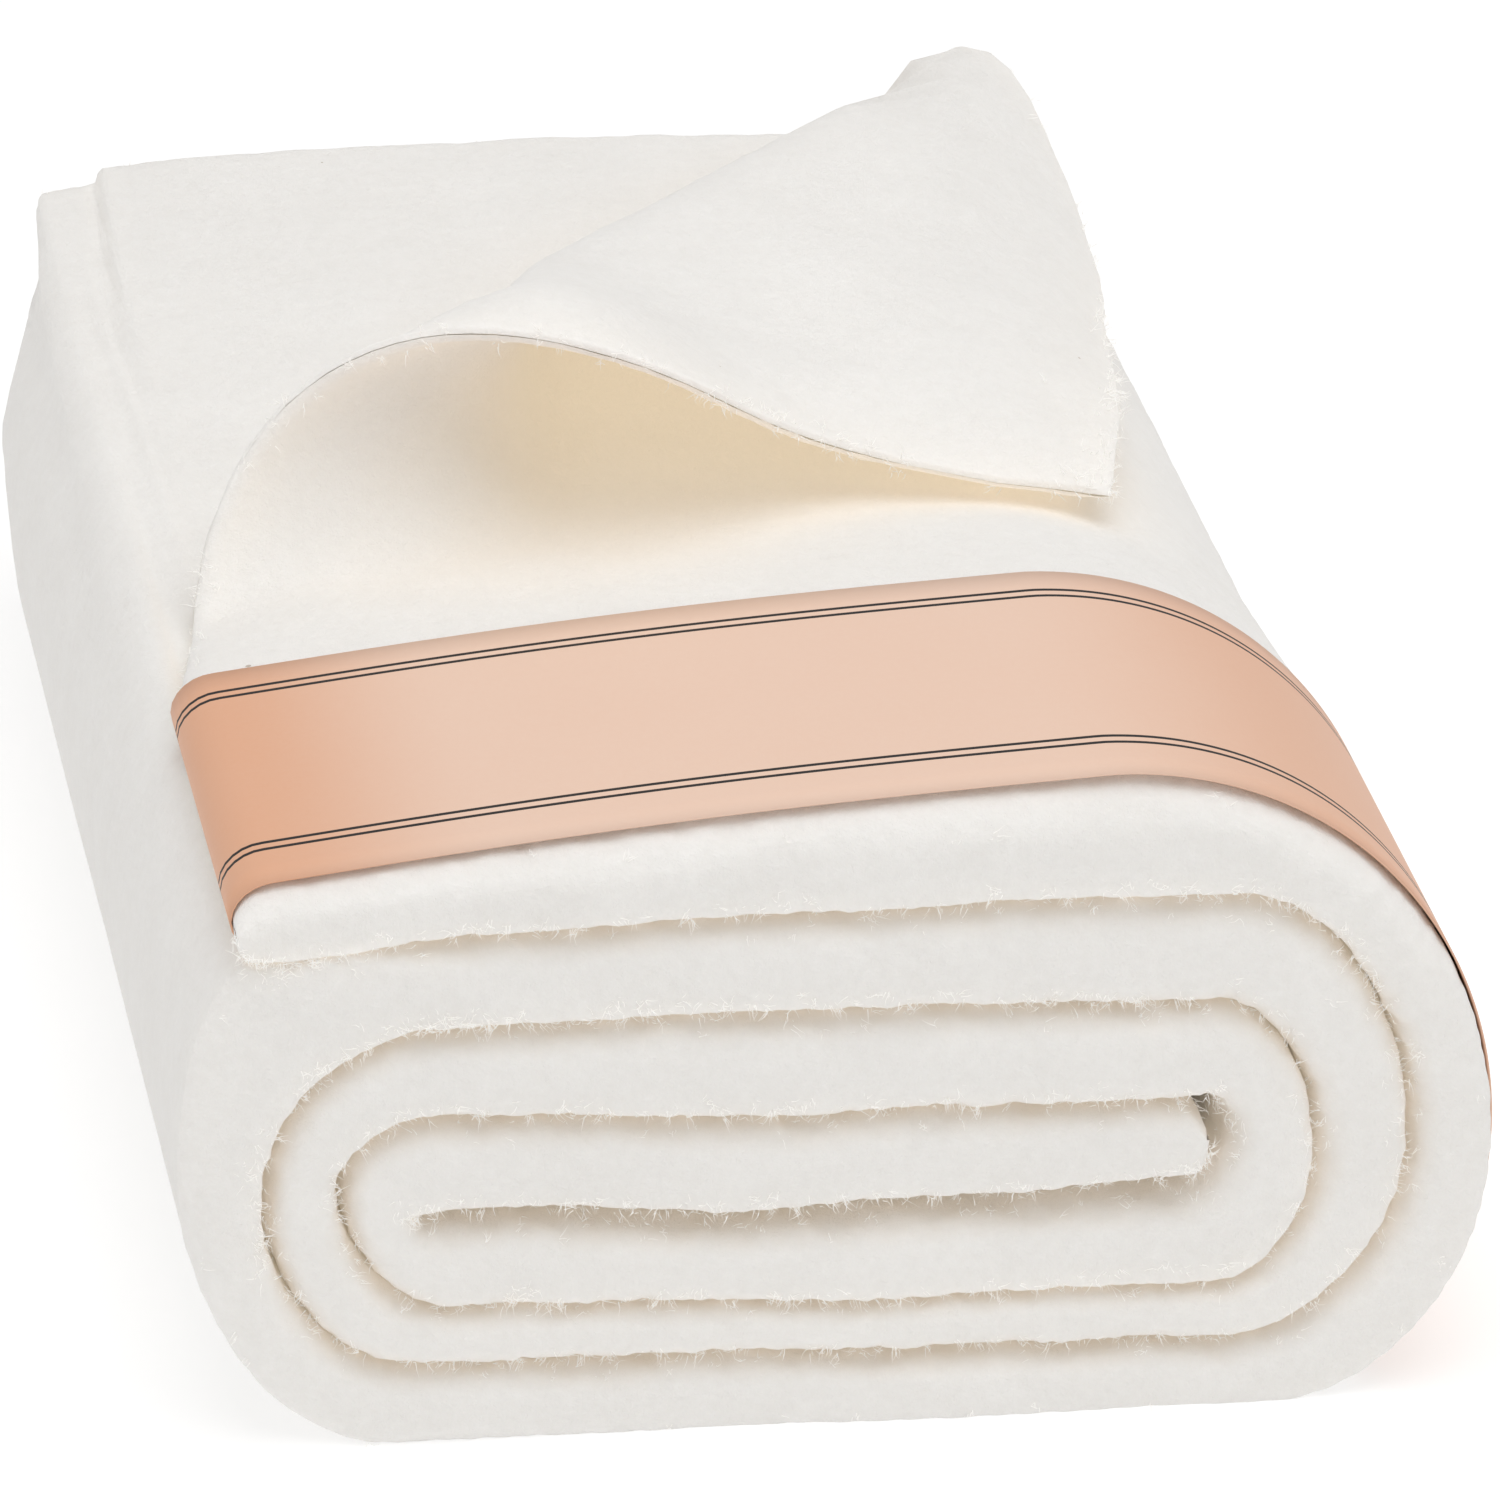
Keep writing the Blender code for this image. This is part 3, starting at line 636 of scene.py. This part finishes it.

rng = np.random.default_rng(8)
fuzz = np.array([entry.value for entry in batting_mesh.attributes["fuzz_share"].data])
lint = bpy.data.curves.new("loose_fibres", "CURVE")
lint.dimensions = "3D"
lint.bevel_depth = FIBRE_THICK * MM
lint.bevel_resolution = 0
for root in rng.choice(len(fuzz), TUFT_COUNT, p=fuzz / fuzz.sum()):
    vert = batting_mesh.vertices[root]
    tuft_way = np.array(vert.normal) + rng.normal(0.0, FIBRE_STRAY, 3)
    for fibre in range(TUFT_FIBRES):
        place = np.array(vert.co) + rng.normal(0.0, TUFT_REACH * MM / 2, 3)
        way = tuft_way + rng.normal(0.0, FIBRE_STRAY, 3)
        step = rng.uniform(*FIBRE_LENGTH) * MM / (FIBRE_POINTS - 1)
        spline = lint.splines.new("POLY")
        spline.points.add(FIBRE_POINTS - 1)
        for number, point in enumerate(spline.points):
            point.co = (*place, 1.0)
            point.radius = 1.0 - 0.8 * number / (FIBRE_POINTS - 1)
            place = place + way / np.linalg.norm(way) * step
            place[2] = max(place[2], FIBRE_THICK * MM)
            way = way / np.linalg.norm(way) + rng.normal(0.0, FIBRE_STRAY / 2, 3)
lint_curve = bpy.data.objects.new("fibre_paths", lint)
lint_mesh = bpy.data.meshes.new_from_object(lint_curve)
bpy.data.objects.remove(lint_curve)
lint_mesh.name = "loose_fibres"
# The fibres' emission is a painted glow that brightens them.
loose_cotton = Finish("loose_cotton", Roughness=0.9, Sheen_Weight=0.2, Specular_IOR_Level=0.1,
                      Emission_Color=LINT, Emission_Strength=LINT_PAINTED_GLOW)
lint_place = loose_cotton.add("ShaderNodeTexCoord", {}, {}, "Object")
lint_shade = loose_cotton.add("ShaderNodeTexNoise", {}, {"Vector": lint_place, "Scale": 300.0, "Detail": 2.0})
loose_cotton.feed(loose_cotton.shader.inputs["Base Color"], loose_cotton.mix(lint_shade, COTTON, LINT))
lint_mesh.materials.clear()
lint_mesh.materials.append(loose_cotton.material)
fibres = bpy.data.objects.new("loose_fibres", lint_mesh)
scene.collection.objects.link(fibres)
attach(fibres, "root")


# The belly band.
# A strip of smooth peach paper, printed with two thin black rules along each edge. It runs from low
# on the right wall over the top, round the left end of the outer layer and in under it.
BAND_FRONT, BAND_BACK = -148.0, -77.0
BAND_THICK = 0.3
BAND_CLEAR = 0.7
BAND_TUCK = 27.0
BAND_LOW = 5.0
BAND_STEP = 1.5
BAND_ROWS = 12

round_end = END_ROUND * (1.0 - np.cos(np.linspace(0.0, math.pi / 2, 12)))
over_run = np.concatenate([np.arange(run[counts >= last_wrap - 1 + FLAT_SHARE][0], SHEET_LENGTH - END_ROUND, 1.0),
                           SHEET_LENGTH - round_end[::-1]])
under_run = np.concatenate([SHEET_LENGTH - round_end[1:], np.arange(SHEET_LENGTH - END_ROUND, SHEET_LENGTH - BAND_TUCK, -1.0)])


def sheet_skin(at_run, side):
    """The sheet's outside (1) or inside (-1) in section, with its outer end rounded."""
    middle, half = ([np.interp(at_run, run, line[:, axis]) for axis in (0, 1)]
                    for line in (middle_line, outside_line - middle_line))
    return (np.array(middle) + side * np.array(half) * rounded(SHEET_LENGTH - at_run, END_ROUND)).T


over = sheet_skin(over_run, 1.0)
band_path = np.vstack([over[over[:, 1] > BAND_LOW], sheet_skin(under_run, -1.0)])
band_run = np.concatenate([[0.0], np.cumsum(np.hypot(*np.diff(band_path, axis=0).T))])
BAND_LENGTH = band_run[-1]
band_stations = round(BAND_LENGTH / BAND_STEP)

strip = bmesh.new()
uv_layer = strip.loops.layers.uv.new("along_and_across")
bmesh.ops.create_grid(strip, x_segments=band_stations, y_segments=BAND_ROWS, size=0.5)
for face in strip.faces:
    for loop in face.loops:
        loop[uv_layer].uv = ((loop.vert.co.x + 0.5) * BAND_LENGTH * MM, (loop.vert.co.y + 0.5) * (BAND_BACK - BAND_FRONT) * MM)
for vert in strip.verts:
    at = (vert.co.x + 0.5) * BAND_LENGTH
    ahead = np.array([np.interp([at - 2.0, at + 2.0], band_run, band_path[:, axis]) for axis in (0, 1)])
    way = ahead[:, 1] - ahead[:, 0]
    outward = np.array([way[1], -way[0]]) / np.hypot(*way)
    place = np.array([np.interp(at, band_run, band_path[:, axis]) for axis in (0, 1)]) + outward * BAND_CLEAR
    vert.co = Vector((place[0], BAND_FRONT + (vert.co.y + 0.5) * (BAND_BACK - BAND_FRONT), place[1])) * MM
band_mesh = bpy.data.meshes.new("belly_band_paper")
strip.to_mesh(band_mesh)
strip.free()
band_mesh.shade_smooth()
band = bpy.data.objects.new("belly_band_paper", band_mesh)
scene.collection.objects.link(band)
paper_sides = band.modifiers.new("paper_thickness", "SOLIDIFY")
paper_sides.thickness = BAND_THICK * MM
paper_sides.offset = 1.0

# The second colour is the paper in painted shade, which its blotches also lean towards.
PEACH, PEACH_BLOTCHED_AND_SHADED, INK = (0.80, 0.59, 0.475, 1.0), (0.72, 0.375, 0.225, 1.0), (0.012, 0.011, 0.011, 1.0)
RULES_FROM_BACK = (6.7, 8.8)
RULES_FROM_FRONT = (10.6, 12.7)
RULE_WIDTH = 0.8
END_SHADE_LEFT = (75.0, 38.0)         # how far from its two ends painted shade starts to darken the paper, and is at its deepest
END_SHADE_RIGHT = (150.0, 100.0)      # is at its deepest

paper = Finish("band_paper", Roughness=0.55, Specular_IOR_Level=0.35)
paper_uv = paper.add("ShaderNodeUVMap", dict(uv_map="along_and_across"), {})
from_front = paper.add("ShaderNodeSeparateXYZ", {}, {"Vector": paper_uv}, "Y") * (1.0 / MM)
along_band = paper.add("ShaderNodeSeparateXYZ", {}, {"Vector": paper_uv}, "X") * (1.0 / MM)
# Painted shade: the paper darkens towards both ends of the band, where it turns down round the roll's curves.
painted_shade_left = paper.add("ShaderNodeMapRange", dict(interpolation_type="SMOOTHSTEP"),
                      {"Value": along_band, "From Min": BAND_LENGTH - END_SHADE_LEFT[0], "From Max": BAND_LENGTH - END_SHADE_LEFT[1]})
painted_shade_right = paper.add("ShaderNodeMapRange", dict(interpolation_type="SMOOTHSTEP"),
                       {"Value": along_band, "From Min": END_SHADE_RIGHT[0], "From Max": END_SHADE_RIGHT[1]})
rules = 0.0
for place in [*RULES_FROM_FRONT, *(BAND_BACK - BAND_FRONT - off for off in RULES_FROM_BACK)]:
    rules = rules + (abs(from_front - place) < RULE_WIDTH / 2)
paper_place = paper.add("ShaderNodeTexCoord", {}, {}, "Object")
paper_grain = paper.add("ShaderNodeTexNoise", {}, {"Vector": paper_place, "Scale": 900.0, "Detail": 3.0})
blotches = paper.add("ShaderNodeTexNoise", {}, {"Vector": paper_place, "Scale": 30.0, "Detail": 2.0})
# Blotches and grain add tone that differs at random to the painted shade at the ends.
blotches_and_painted_shade = painted_shade_left * 0.75 + painted_shade_right * 0.5 + blotches * 0.1 + paper_grain * 0.1
paper_colour = paper.mix(blotches_and_painted_shade, PEACH, PEACH_BLOTCHED_AND_SHADED)
paper.feed(paper.shader.inputs["Base Color"], paper.mix(rules, paper_colour, INK))
paper.feed(paper.shader.inputs["Normal"],
           paper.add("ShaderNodeBump", {}, {"Strength": 0.15, "Distance": 0.0002, "Height": paper_grain}))
band_mesh.materials.append(paper.material)
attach(band, "root")
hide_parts("belly_band")
